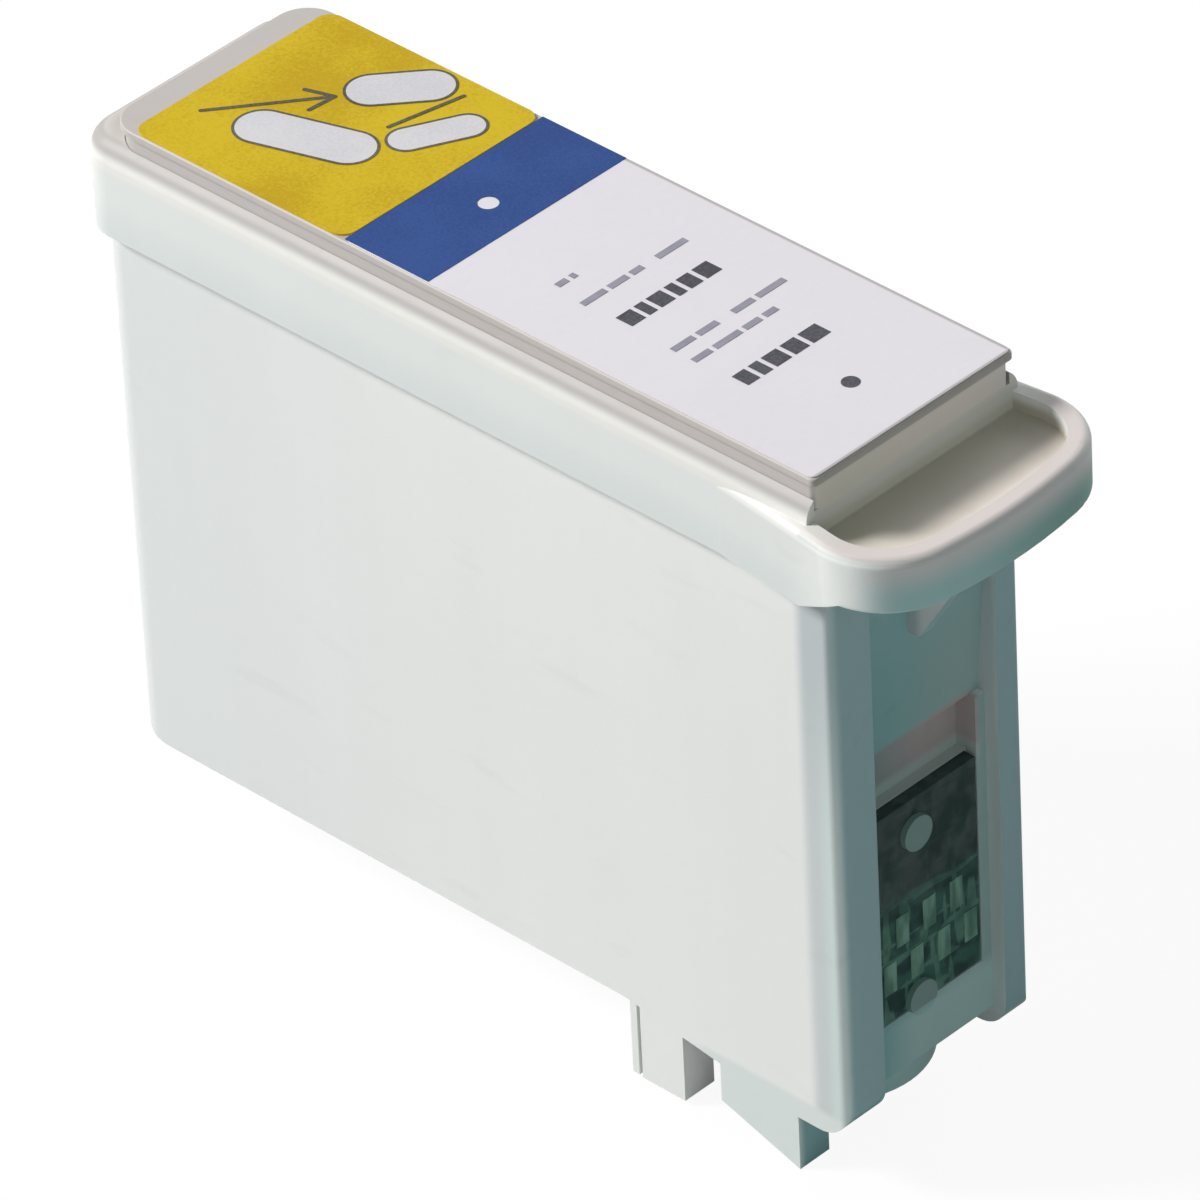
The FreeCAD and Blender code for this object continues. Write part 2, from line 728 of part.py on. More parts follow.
def make_gusset(body, s):
    """The rib that carries the lip's skin down onto the front of the tank."""
    inner_x = s.setback(s.slot_depth)
    outer_x = s.tank_front + s.gusset_reach
    foot = s.lip_bottom - s.gusset_drop
    profile = new_sketch(body, "gusset_profile", "XZ_Plane")
    draw_polygon(profile, (
        (inner_x, s.shelf_underside), (outer_x, s.shelf_underside), (outer_x, s.lip_bottom),
        (s.tank_front, foot), (inner_x, foot),
    ))
    pad(body, "gusset", profile, s.gusset_thickness, symmetric=True)


def make_stakes(body, s):
    """Two pins through the contact board, each spread to a flat head in front of it."""
    stake_radius = s.board_hole_radius - s.stake_clearance
    for name, level in (("hole", s.hole_level), ("notch", s.notch_level)):
        pin = new_sketch(body, f"{name}_pin_face", "YZ_Plane", s.board_back)
        draw_circle(pin, s.stake_y, level, stake_radius)
        pad(body, f"{name}_pin", pin, s.board_thickness)
        head = new_sketch(body, f"{name}_head_face", "YZ_Plane", s.board_front)
        draw_circle(head, s.stake_y, level, s.stake_head_radius)
        pad(body, f"{name}_head", head, s.stake_head_thickness)


def make_outlet(body, s):
    """Recess inside the skirt, outlet boss, standpipe and the stepped bore through them."""
    recess = new_sketch(body, "recess_plan", "XY_Plane", s.skirt_low)
    side = s.tank_side - s.skirt_wall
    draw_rounded_box(
        recess, s.setback(s.skirt_setback), s.board_back - s.skirt_wall, -side, side,
        s.soft_edge, s.soft_edge,
    )
    pocket(body, "skirt_recess", recess, s.skirt_drop, reverse=True)

    boss = new_sketch(body, "boss_plan", "XY_Plane", s.outlet_rise)
    draw_circle(boss, s.outlet_x, 0, s.boss_radius)
    pad(body, "outlet_boss", boss, s.floor_middle - s.outlet_rise)

    standpipe = new_sketch(body, "standpipe_plan", "XY_Plane", s.floor_middle)
    draw_circle(standpipe, s.outlet_x, 0, s.standpipe_radius)
    pad(body, "standpipe", standpipe, s.filter_seat + s.filter_thickness - s.floor_middle)

    filter_seat = new_sketch(body, "filter_seat_plan", "XY_Plane", s.filter_seat)
    draw_circle(filter_seat, s.outlet_x, 0, s.filter_radius + s.seal_fit)
    pocket(body, "filter_recess", filter_seat, s.filter_thickness, reverse=True)

    passage = new_sketch(body, "passage_plan", "XY_Plane", s.filter_seat)
    draw_circle(passage, s.outlet_x, 0, s.outlet_passage_radius)
    pocket(body, "passage", passage, s.filter_seat)

    seal_bore = new_sketch(body, "seal_bore_plan", "XY_Plane", s.outlet_rise)
    draw_circle(seal_bore, s.outlet_x, 0, s.seal_radius + s.seal_fit)
    pocket(body, "seal_bore", seal_bore, s.seal_height, reverse=True)


def make_feet(body, s):
    """Fin and guide along both long sides, a sloping foot on the near one and a flat far one."""
    inner_face = s.film_radius + s.foot_gap
    width = s.tank_side - s.foot_inset - inner_face
    outlines = {
        "fin": (s.fin_setback, s.fin_thickness, s.fin_rise, s.fin_rise),
        "guide": (s.guide_setback, s.guide_length, s.guide_rise, s.guide_rise),
        "near_foot": (s.foot_setback, s.foot_length, s.foot_heel_rise, 0),
        "far_foot": (s.foot_setback, s.foot_length, s.far_foot_rise, s.far_foot_rise),
    }
    features = {}
    for name, (setback, length, rear_level, front_level) in outlines.items():
        far = name == "far_foot"
        start = s.setback(setback)
        sketch = new_sketch(
            body, f"{name}_profile", "XZ_Plane", -inner_face if far else inner_face,
        )
        draw_polygon(sketch, (
            (start, s.floor_middle), (start, rear_level),
            (start + length, front_level), (start + length, s.floor_middle),
        ))
        features[name] = pad(body, name, sketch, width, reverse=far)
    body.Document.recompute()
    mirror_across(body, "far_side", [features["fin"], features["guide"]])


def make_tank(document, s):
    """The moulded ink tank: chamber, collar, lip, front channel, outlet and feet in one piece."""
    body = document.addObject("PartDesign::Body", "tank")
    make_lip(body, s)
    make_collar(body, s)
    make_tank_shell(body, s)
    make_tank_cavity(body, s)
    make_front_channel(body, s)
    make_gusset(body, s)
    make_stakes(body, s)
    make_outlet(body, s)
    make_feet(body, s)
    return body


def vent_outline(s):
    """Corners of the vent groove, which runs to and fro and leaves the film on its last run."""
    start = s.vent_start
    turn = start + s.vent_run
    path = []
    for run in range(VENT_RUNS):
        y = s.vent_groove_pitch * (run - (VENT_RUNS - 1) / 2)
        ends = (start, turn) if run % 2 == 0 else (turn, start)
        path.extend((x, y) for x in ends)
    path[-1] = (start + s.vent_outlet_run, path[-1][1])

    half_width = s.vent_groove_width / 2
    headings = []
    for run in range(VENT_RUNS):
        headings.append((1 if run % 2 == 0 else -1, 0))
        headings.append((0, 1))
    headings.pop()
    before = [(headings[0][0], 0)] + headings
    after = headings + [(headings[-1][0], 0)]
    sides = ([], [])
    for (x, y), (in_x, in_y), (out_x, out_y) in zip(path, before, after):
        turning = (in_x, in_y) != (out_x, out_y)
        shift_x = -(in_y + out_y) if turning else 0
        shift_y = in_x + out_x if turning else in_x
        sides[0].append((x + half_width * shift_x, y + half_width * shift_y))
        sides[1].append((x - half_width * shift_x, y - half_width * shift_y))
    return sides[0] + sides[1][::-1]


def make_cover(document, s):
    """The cover: a brim over a plug, hollow below, with ribs on the foam and holes in its roof."""
    body = document.addObject("PartDesign::Body", "cover")
    plug = new_sketch(body, "plug_plan", "XY_Plane", s.cover_seat)
    draw_rounded_box(
        plug, s.plug_back, s.plug_front, -s.plug_side, s.plug_side,
        s.cover_corner_radius - s.cover_reveal, s.cover_front_radius,
    )
    pad(body, "plug", plug, s.cover_top - s.cover_seat)
    brim = new_sketch(body, "brim_plan", "XY_Plane", s.cover_top)
    draw_rounded_box(
        brim, s.cover_back, s.cover_front, -s.cover_side, s.cover_side,
        s.cover_corner_radius, s.cover_front_radius,
    )
    pad(body, "brim", brim, s.cover_brim, reverse=True)
    round_edges(body, "brim_edge", s.cover_edge_rounding, lambda box: flat_at(box, s.cover_top))

    core_back = s.plug_back + s.cover_wall
    core_front = s.cavity_front - s.cover_clearance
    core_side = s.cavity_side - s.cover_clearance
    core = new_sketch(body, "core_plan", "XY_Plane", s.cover_seat)
    draw_rounded_box(
        core, core_back, core_front, -core_side, core_side,
        s.chamber_corner_radius, s.chamber_corner_radius,
    )
    roof = s.cover_top - s.cover_roof
    pocket(body, "core", core, roof - s.cover_seat, reverse=True)

    for side, sign in (("near", -1), ("far", 1)):
        rib = new_sketch(body, f"{side}_rib_plan", "XY_Plane", s.foam_top)
        inner = s.rib_spread * (sign / 2) - s.rib_thickness / 2
        outer = s.rib_spread * (sign / 2) + s.rib_thickness / 2
        draw_polygon(rib, (
            (core_back, inner), (core_front, inner), (core_front, outer), (core_back, outer),
        ))
        pad(body, f"{side}_rib", rib, roof - s.foam_top)

    fill_holes = new_sketch(body, "fill_hole_plan", "XY_Plane", s.cover_top)
    fill_x = s.setback(s.fill_hole_setback)
    for centre_x in (fill_x, fill_x - s.fill_hole_spacing):
        draw_circle(fill_holes, centre_x, 0, s.fill_hole_radius)
    pocket(body, "fill_holes", fill_holes, s.cover_roof)
    make_vent(body, s)
    return body


def make_vent(body, s):
    """The film's shallow recess, the groove below it and the hole that opens into the hollow."""
    recess = new_sketch(body, "film_recess_plan", "XY_Plane", s.cover_top)
    draw_film_outline(recess, s, s.vent_film_fit)
    pocket(body, "film_recess", recess, s.film_thickness)
    groove = new_sketch(body, "groove_plan", "XY_Plane", s.cover_top)
    draw_polygon(groove, vent_outline(s))
    pocket(body, "groove", groove, s.film_thickness + s.vent_groove_depth)
    hole = new_sketch(body, "vent_hole_plan", "XY_Plane", s.cover_top)
    lowest_run = s.vent_groove_pitch * (-(VENT_RUNS - 1) / 2)
    draw_circle(hole, s.vent_start, lowest_run, s.vent_hole_radius)
    pocket(body, "vent_hole", hole, s.cover_roof)


def draw_film_outline(sketch, s, margin=0):
    """The vent film's outline, grown by a margin."""
    start = s.along(s.vent_film_start)
    side = s.vent_film_width / 2 + margin
    draw_rounded_box(
        sketch, start - margin, start + s.vent_film_length + margin, -side, side,
        s.vent_film_radius + margin, s.vent_film_radius + margin,
    )


def make_foam(document, s):
    """The foam block that holds the ink, notched round the standpipe."""
    body = document.addObject("PartDesign::Body", "ink_foam")
    side = s.cavity_side - s.foam_clearance
    plan = new_sketch(body, "block_plan", "XY_Plane", s.floor_top)
    draw_rounded_box(
        plan, s.cavity_back + s.foam_clearance, s.cavity_front - s.foam_clearance,
        -side, side, s.chamber_corner_radius, s.chamber_corner_radius,
    )
    pad(body, "block", plan, s.foam_top - s.floor_top)
    well = new_sketch(body, "well_plan", "XY_Plane", s.floor_top)
    draw_circle(well, s.outlet_x, 0, s.standpipe_radius + s.foam_clearance)
    pocket(body, "well", well, s.standpipe_height + s.filter_thickness, reverse=True)
    return body


def make_seal(document, s):
    """The rubber ring in the outlet, turned about its bore, with a tapered mouth below its lip."""
    body = document.addObject("PartDesign::Body", "outlet_seal")
    lip_level = s.seal_height - s.seal_lip_height
    profile = new_sketch(body, "seal_profile", "XZ_Plane")
    draw_polygon(profile, (
        ((s.seal_bore_radius + s.seal_radius) / 2, 0),
        (s.seal_radius, 0),
        (s.seal_radius, s.seal_height),
        (s.seal_bore_radius, s.seal_height),
        (s.seal_bore_radius, lip_level),
    ))
    turn = body.newObject("PartDesign::Revolution", "seal_turn")
    turn.Profile = profile
    turn.ReferenceAxis = (profile, ["V_Axis"])
    turn.Angle = 360
    bind(body, "Placement.Base.x", s.outlet_x)
    bind(body, "Placement.Base.z", s.outlet_rise)
    return body


def make_disc(document, name, role, centre, level, radius, thickness, **options):
    """A plain round disc, such as the filter, a film or the chip."""
    body = document.addObject("PartDesign::Body", name)
    plan = new_sketch(body, f"{name}_plan", role, level)
    draw_circle(plan, *centre, radius)
    pad(body, f"{name}_disc", plan, thickness, **options)
    return body


def make_board(document, s):
    """The contact board, with a hole over one pin and an open notch over the other."""
    body = document.addObject("PartDesign::Body", "chip_board")
    low_y, high_y = s.channel_offset - s.board_width / 2, s.channel_offset + s.board_width / 2
    face = new_sketch(body, "board_face", "YZ_Plane", s.board_back)
    draw_polygon(face, (
        (low_y, s.board_low), (high_y, s.board_low), (high_y, s.board_top), (low_y, s.board_top),
    ))
    draw_circle(face, s.stake_y, s.hole_level, s.board_hole_radius)
    pad(body, "board_plate", face, s.board_thickness)
    notch_face = new_sketch(body, "notch_face", "YZ_Plane", s.board_front)
    draw_stroke(
        notch_face, (s.stake_y, s.notch_level), (s.stake_y, s.board_low - s.board_hole_radius),
        s.board_hole_radius,
    )
    pocket(body, "notch", notch_face, s.board_thickness)
    return body


def make_contacts(document, s):
    """Seven plated contacts in two rows on the board's face."""
    body = document.addObject("PartDesign::Body", "chip_contacts")
    face = new_sketch(body, "contact_face", "YZ_Plane", s.board_front)
    run = s.board_width - s.contact_edge_gap * 2 - s.contact_width
    pitch = run / (LOWER_CONTACTS - 1)
    lower = s.board_low + s.contact_rise
    upper = lower + s.contact_height + s.contact_row_gap
    for count, low in ((UPPER_CONTACTS, upper), (LOWER_CONTACTS, lower)):
        high = low + s.contact_height
        for index in range(count):
            centre = s.channel_offset + pitch * (index - (count - 1) / 2)
            left, right = centre - s.contact_width / 2, centre + s.contact_width / 2
            draw_polygon(face, ((left, low), (right, low), (right, high), (left, high)))
    pad(body, "contact_plating", face, s.contact_thickness)
    return body


def make_sheet_part(document, name, level, start, end, side, rear_radius, thickness):
    """A thin rectangular layer with round corners, such as a label or the pull tape."""
    body = document.addObject("PartDesign::Body", name)
    plan = new_sketch(body, f"{name}_plan", "XY_Plane", level)
    draw_rounded_box(plan, start, end, -side, side, rear_radius, rear_radius)
    pad(body, f"{name}_layer", plan, thickness)
    return body


def make_band(document, s):
    """The field of colour at the label's rear end, with a round spot left open in it."""
    body = document.addObject("PartDesign::Body", "label_band")
    plan = new_sketch(body, "band_plan", "XY_Plane", s.label_top)
    draw_polygon(plan, (
        (s.label_back, -s.label_side), (s.band_front, -s.label_side),
        (s.band_front, s.label_side), (s.label_back, s.label_side),
    ))
    spot_x = s.label_back + s.band_spot_inset
    draw_circle(plan, spot_x, -s.band_spot_offset, s.band_spot_radius)
    pad(body, "band_ink", plan, s.ink_thickness)
    return body


def make_label_print(document, s):
    """Rows of short bars and one round mark on the label's white field."""
    body = document.addObject("PartDesign::Body", "label_print")
    plan = new_sketch(body, "label_print_plan", "XY_Plane", s.label_top)
    for along, line, bars in LABEL_ROWS:
        half_width = getattr(s, line)
        for start, end in bars:
            x, low_y = s.on_field(s.band_front, s.label_front, (along, start))
            x, high_y = s.on_field(s.band_front, s.label_front, (along, end))
            draw_polygon(plan, (
                (x - half_width, low_y), (x + half_width, low_y),
                (x + half_width, high_y), (x - half_width, high_y),
            ))
    draw_circle(plan, *s.on_field(s.band_front, s.label_front, ROUND_MARK), s.round_mark)
    pad(body, "label_ink", plan, s.ink_thickness)
    return body


def make_tape_print(document, s, name, strokes, outlined=()):
    """Printed strokes on the tape, each a pad of its own, with a thin line round some others."""
    body = document.addObject("PartDesign::Body", name)
    for number, (start, end, line) in enumerate((*strokes, *outlined), start=1):
        half_width = getattr(s, line)
        ends = [s.on_field(s.tape_back, s.tape_front, share) for share in (start, end)]
        plan = new_sketch(body, f"{name}_plan_{number}", "XY_Plane", s.tape_top)
        draw_stroke(plan, *ends, half_width)
        if number > len(strokes):
            draw_stroke(plan, *ends, half_width + s.outline)
        pad(body, f"{name}_ink_{number}", plan, s.ink_thickness)
    return body


def make_small_parts(document, s):
    """Filter, films, chip, label and tape."""
    outlet = (s.outlet_x, 0)
    vent_film = document.addObject("PartDesign::Body", "vent_film")
    vent_plan = new_sketch(vent_film, "vent_film_plan", "XY_Plane", s.cover_top)
    draw_film_outline(vent_plan, s)
    pad(vent_film, "vent_film_layer", vent_plan, s.film_thickness, reverse=True)
    return [
        make_disc(
            document, "outlet_filter", "XY_Plane", outlet, s.filter_seat,
            s.filter_radius, s.filter_thickness,
        ),
        make_disc(
            document, "outlet_film", "XY_Plane", outlet, s.outlet_rise,
            s.film_radius, s.film_thickness, reverse=True,
        ),
        make_disc(
            document, "chip_die", "YZ_Plane", s.chip_centre, s.board_back,
            s.chip_radius, s.chip_thickness, reverse=True,
        ),
        vent_film,
        make_sheet_part(
            document, "top_label", s.cover_top, s.label_back, s.label_front,
            s.label_side, s.label_radius, s.label_thickness,
        ),
        make_sheet_part(
            document, "pull_tape", s.cover_top, s.tape_back, s.tape_front,
            s.label_side, s.tape_radius, s.tape_thickness,
        ),
    ]


def check_and_export(document, parts):
    """Writes each sub-part only when every object of the document is sound."""
    document.recompute()
    for item in document.Objects:
        if "Invalid" in item.State or "Error" in item.State:
            raise RuntimeError(f"{item.Name} failed: {item.State}")
    os.makedirs("parts", exist_ok=True)
    for part in parts:
        shape = part.Shape
        if shape.isNull() or not shape.isValid():
            raise RuntimeError(f"{part.Label} has no sound shape")
    for part in parts:
        part.Shape.exportStep(f"parts/{part.Label}.step")
        print(part.Label, len(part.Shape.Solids), round(part.Shape.Volume, 2))


def main():
    document = FreeCAD.newDocument("InkCartridge")
    make_sheet(document)
    s = Sizes()
    parts = [
        make_tank(document, s),
        make_cover(document, s),
        make_foam(document, s),
        make_seal(document, s),
        make_board(document, s),
        make_contacts(document, s),
        make_band(document, s),
        make_label_print(document, s),
        make_tape_print(document, s, "tape_print_pale", PALE_STROKES),
        make_tape_print(document, s, "tape_print_dark", DARK_STROKES, outlined=PALE_STROKES),
    ]
    parts.extend(make_small_parts(document, s))
    check_and_export(document, parts)


main()
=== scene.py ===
import bpy
from mathutils import Matrix, Vector


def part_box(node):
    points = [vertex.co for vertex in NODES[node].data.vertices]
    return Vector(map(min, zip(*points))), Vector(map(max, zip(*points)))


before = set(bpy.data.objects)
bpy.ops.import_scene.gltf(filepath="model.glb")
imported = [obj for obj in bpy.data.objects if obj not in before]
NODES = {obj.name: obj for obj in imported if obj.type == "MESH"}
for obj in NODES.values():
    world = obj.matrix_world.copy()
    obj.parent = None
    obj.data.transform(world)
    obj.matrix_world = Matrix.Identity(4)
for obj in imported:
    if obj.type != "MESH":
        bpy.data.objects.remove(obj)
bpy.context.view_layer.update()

MM = 0.001

# Places in metres, from the frame's nodes and the tank's own levels
COVER_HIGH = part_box("cover")[1]
LABEL_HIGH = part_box("top_label")[1]
BAND_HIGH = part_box("label_band")[1]
BOARD_LOW, BOARD_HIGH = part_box("chip_board")
FRONT_X = COVER_HIGH[0] + 0.3 * MM
LIP_START_X = COVER_HIGH[0] - 0.3 * MM
SHELF_X = LIP_START_X + 3.5 * MM
GUIDE_X = 14.5 * MM
FLARE_START_X = 18.0 * MM
SIDE_Y = 9.2 * MM
UNDERSIDE_Z = 7.1 * MM
COLLAR_Z = 50.65 * MM
LIP_LOW_Z = 52.4 * MM
SHELF_Z = 55.2 * MM
SHOULDER_Z = 56.4 * MM
LIP_TOP_Z = 56.6 * MM
COLLAR_TOP_Z = 58.5 * MM


def rgb(red, green, blue):
    return (red, green, blue, 1.0)


# Colours of the tank's plastic, among them painted shade, a painted shadow and painted highlights
WALL_REAR = rgb(0.705, 0.732, 0.727)
WALL_FRONT = rgb(0.77, 0.785, 0.778)
# Painted shade for the side beside the rounded front corner
CORNER_SHADE_HIGH = rgb(0.485, 0.53, 0.545)
CORNER_SHADE_LOW_BACK = rgb(0.555, 0.60, 0.60)
CORNER_SHADE_LOW_FRONT = rgb(0.58, 0.67, 0.655)
# Painted shade for the front strips, which face away from the key light
FRONT_STRIP_SHADE = rgb(0.31, 0.465, 0.48)
# A painted highlight along the front's near edge
FRONT_EDGE_HIGHLIGHT = rgb(0.76, 0.85, 0.83)
# Painted shade for the channel and for the apron below the board
CHANNEL_SHADE_NEAR = rgb(0.20, 0.40, 0.40)
CHANNEL_SHADE_FAR = rgb(0.31, 0.44, 0.42)
CHANNEL_SHADE_TOP = rgb(0.26, 0.45, 0.455)
APRON_SHADE = rgb(0.42, 0.60, 0.58)
GUIDE_FRONT = rgb(0.79, 0.80, 0.785)
# Painted shade on the feet's sides, under the wall's bottom edge
FOOT_SIDE_SHADE = rgb(0.66, 0.715, 0.705)
# Painted shade in the slot above the board, and a painted highlight on its ledge
SLOT_SHADE_NEAR = rgb(0.24, 0.28, 0.28)
SLOT_SHADE_FAR = rgb(0.42, 0.34, 0.33)
LEDGE_HIGHLIGHT = rgb(0.47, 0.56, 0.52)
PIN_HEADS = rgb(0.20, 0.30, 0.275)
# Painted shade low on the collar's side, towards its joint with the walls
COLLAR_SHADE_LOW = rgb(0.66, 0.71, 0.705)
COLLAR_HIGH = rgb(0.73, 0.757, 0.748)
LIP_SIDE = rgb(0.82, 0.845, 0.83)
# A painted highlight low on the shoulder, and painted shade on its rounded top, which faces the
# key light
SHOULDER_HIGHLIGHT = rgb(0.79, 0.785, 0.76)
SHOULDER_SHADE = rgb(0.40, 0.385, 0.375)
COLLAR_TOP = rgb(0.53, 0.50, 0.475)
# Painted shade low on the collar's end, in the corner above the shelf
END_WALL_SHADE_LOW = rgb(0.56, 0.56, 0.49)
END_WALL_HIGH = rgb(0.74, 0.735, 0.67)
LIP_FRONT_HIGH = rgb(0.64, 0.63, 0.61)
# Painted shade on the lip's front, lower down and darker on the far side
LIP_FRONT_SHADE_NEAR = rgb(0.36, 0.57, 0.56)
LIP_FRONT_SHADE_FAR = rgb(0.23, 0.40, 0.36)
RIM_REAR = rgb(0.80, 0.79, 0.76)
RIM_FRONT = rgb(0.70, 0.64, 0.62)
# A painted shadow of the collar and cover on the shelf, fading towards the rim
SHELF_SHADOW = rgb(0.53, 0.51, 0.43)
SHELF_FRONT = rgb(0.84, 0.77, 0.71)


# Node helpers

class Graph:
    """A material's node tree, with short calls for the nodes used here."""

    def __init__(self, name):
        self.material = bpy.data.materials.new(name)
        self.material.use_nodes = True
        self.tree = self.material.node_tree
        self.tree.nodes.clear()
        self.output = self.tree.nodes.new("ShaderNodeOutputMaterial")
        self.shader = self.tree.nodes.new("ShaderNodeBsdfPrincipled")
        self.link(self.shader.outputs["BSDF"], self.output.inputs["Surface"])
        coordinates = self.tree.nodes.new("ShaderNodeTexCoord")
        self.place = coordinates.outputs["Object"]
        self.x, self.y, self.z = self.split(self.place)
        self.normal_x, self.normal_y, self.normal_z = self.split(coordinates.outputs["Normal"])

    def split(self, vector):
        node = self.tree.nodes.new("ShaderNodeSeparateXYZ")
        self.link(vector, node.inputs[0])
        return node.outputs

    def link(self, output, socket):
        self.tree.links.new(output, socket)

    def feed(self, node, index, value):
        if isinstance(value, bpy.types.NodeSocket):
            self.link(value, node.inputs[index])
        else:
            node.inputs[index].default_value = value

    def math(self, operation, first, second=0.0, third=0.0):
        node = self.tree.nodes.new("ShaderNodeMath")
        node.operation = operation
        for index, value in enumerate((first, second, third)):
            self.feed(node, index, value)
        return node.outputs[0]

    def line(self, value, slope, offset):
        """Slope times the value, plus the offset."""
        return self.math("MULTIPLY_ADD", value, slope, offset)

    def all_of(self, *shares):
        """The product of several shares."""
        total = shares[0]
        for share in shares[1:]:
            total = self.math("MULTIPLY", total, share)
        return total

    def ramp(self, value, start, end):
        """0 at start and 1 at end, held beyond both. Start may be the larger."""
        node = self.tree.nodes.new("ShaderNodeMapRange")
        node.interpolation_type = "SMOOTHSTEP"
        self.feed(node, 0, value)
        node.inputs[1].default_value = start
        node.inputs[2].default_value = end
        return node.outputs[0]

    def within(self, value, low, high, soft):
        """1 between low and high, falling to 0 over soft beyond each."""
        return self.all_of(
            self.ramp(value, low - soft, low), self.ramp(value, high + soft, high),
        )

    def stretched(self, scale):
        node = self.tree.nodes.new("ShaderNodeMapping")
        node.inputs["Scale"].default_value = scale
        self.link(self.place, node.inputs[0])
        return node.outputs[0]

    def noise(self, scale, detail=2.0, stretch=None):
        node = self.tree.nodes.new("ShaderNodeTexNoise")
        node.inputs["Scale"].default_value = scale
        node.inputs["Detail"].default_value = detail
        place = self.place if stretch is None else self.stretched(stretch)
        self.link(place, node.inputs["Vector"])
        return node.outputs[0]

    def mix(self, share, first, second):
        node = self.tree.nodes.new("ShaderNodeMix")
        node.data_type = "RGBA"
        for index, value in ((0, share), (6, first), (7, second)):
            self.feed(node, index, value)
        return node.outputs[2]

    def blend(self, value, start, end, first, second):
        """The first colour where the value is at start, the second where it is at end."""
        return self.mix(self.ramp(value, start, end), first, second)

    def scaled(self, colour, factor):
        """A colour made darker or lighter by a factor that varies over the surface."""
        node = self.tree.nodes.new("ShaderNodeVectorMath")
        node.operation = "SCALE"
        self.link(colour, node.inputs[0])
        self.feed(node, 3, factor)
        return node.outputs[0]

    def bump(self, *layers):
        """Relief from several heights, each with its strength and its depth in metres."""
        below = None
        for height, strength, depth in layers:
            node = self.tree.nodes.new("ShaderNodeBump")
            node.inputs["Strength"].default_value = strength
            node.inputs["Distance"].default_value = depth
            self.link(height, node.inputs["Height"])
            if below is not None:
                self.link(below, node.inputs["Normal"])
            below = node.outputs[0]
        self.link(below, self.shader.inputs["Normal"])

    def set(self, **values):
        """Values or links for the shader's inputs, named with underscores for spaces."""
        for name, value in values.items():
            socket = self.shader.inputs[name.replace("_", " ")]
            if isinstance(value, bpy.types.NodeSocket):
                self.link(value, socket)
            else:
                socket.default_value = value


def moulded(graph, base, roughness):
    """The finish of moulded plastic: orange peel, draw marks, light scuffs and uneven gloss."""
    wander = graph.noise(45.0, 3.0)
    peel = graph.noise(1300.0, 2.0)
    grain = graph.noise(7000.0, 2.0)
    drawn = graph.noise(220.0, 3.0, (1.0, 1.0, 0.06))
    scuff = graph.ramp(graph.noise(420.0, 5.0, (0.22, 1.0, 1.0)), 0.60, 0.74)
    mixed = graph.math("ADD", wander, drawn)
    tone = graph.line(mixed, 0.045, 0.957)
    tone = graph.line(scuff, -0.035, tone)
    tone = graph.line(grain, 0.03, graph.math("SUBTRACT", tone, 0.015))
    rough = graph.line(mixed, 0.12, roughness - 0.12)
    graph.set(
        Base_Color=graph.scaled(base, tone),
        Roughness=graph.line(scuff, 0.15, rough),
        Specular_IOR_Level=0.35,
    )
    graph.bump((peel, 0.22, 0.03 * MM), (drawn, 0.14, 0.04 * MM), (grain, 0.12, 0.01 * MM))


# The tank: milky walls, a recessed front painted cool and dark as shade, and a warm brim and lip

class TankGraph(Graph):
    """The tank's node tree, with the shares that several of its colours depend on."""

    def __init__(self):
        super().__init__("tank_plastic")
        self.faces_front = self.ramp(self.normal_x, 0.25, 0.85)
        self.faces_near = self.ramp(self.normal_y, -0.5, -0.9)
        self.faces_up = self.ramp(self.normal_z, 0.5, 0.95)
        self.lower = self.ramp(self.z, 46.0 * MM, 28.0 * MM)
        self.above_walls = self.ramp(self.z, COLLAR_Z - 0.1 * MM, COLLAR_Z + 0.1 * MM)
        self.in_lip = self.all_of(
            self.ramp(self.x, LIP_START_X - 0.2 * MM, LIP_START_X + 0.2 * MM),
            self.ramp(self.z, LIP_TOP_Z + 0.4 * MM, LIP_TOP_Z + 0.2 * MM),
        )


def wall_colour(graph):
    """The long walls, with painted shade as a greyer strip beside the front corner and as cooler,
    greyer feet.
    """
    wall = graph.blend(graph.x, -38.0 * MM, 4.0 * MM, WALL_REAR, WALL_FRONT)
    # Painted shade in a strip beside the front corner, as if the corner were rounder
    corner_shade_share = graph.all_of(
        graph.within(graph.x, FRONT_X - 2.2 * MM, FRONT_X - 0.6 * MM, 1.2 * MM),
        graph.faces_near,
        graph.ramp(graph.z, LIP_LOW_Z, LIP_LOW_Z - 1.0 * MM),
    )
    corner_shade_low = graph.blend(
        graph.x, FRONT_X - 1.8 * MM, FRONT_X - 0.8 * MM, CORNER_SHADE_LOW_BACK, CORNER_SHADE_LOW_FRONT,
    )
    corner = graph.mix(graph.lower, CORNER_SHADE_HIGH, corner_shade_low)
    wall = graph.mix(corner_shade_share, wall, corner)
    # Painted shade on the near side of the feet, under the wall's bottom edge
    foot_shade_share = graph.all_of(
        graph.ramp(graph.z, UNDERSIDE_Z - 0.2 * MM, UNDERSIDE_Z - 0.8 * MM),
        graph.faces_near,
        graph.ramp(graph.x, GUIDE_X + 1.0 * MM, GUIDE_X + 3.0 * MM),
    )
    return graph.mix(foot_shade_share, wall, FOOT_SIDE_SHADE)


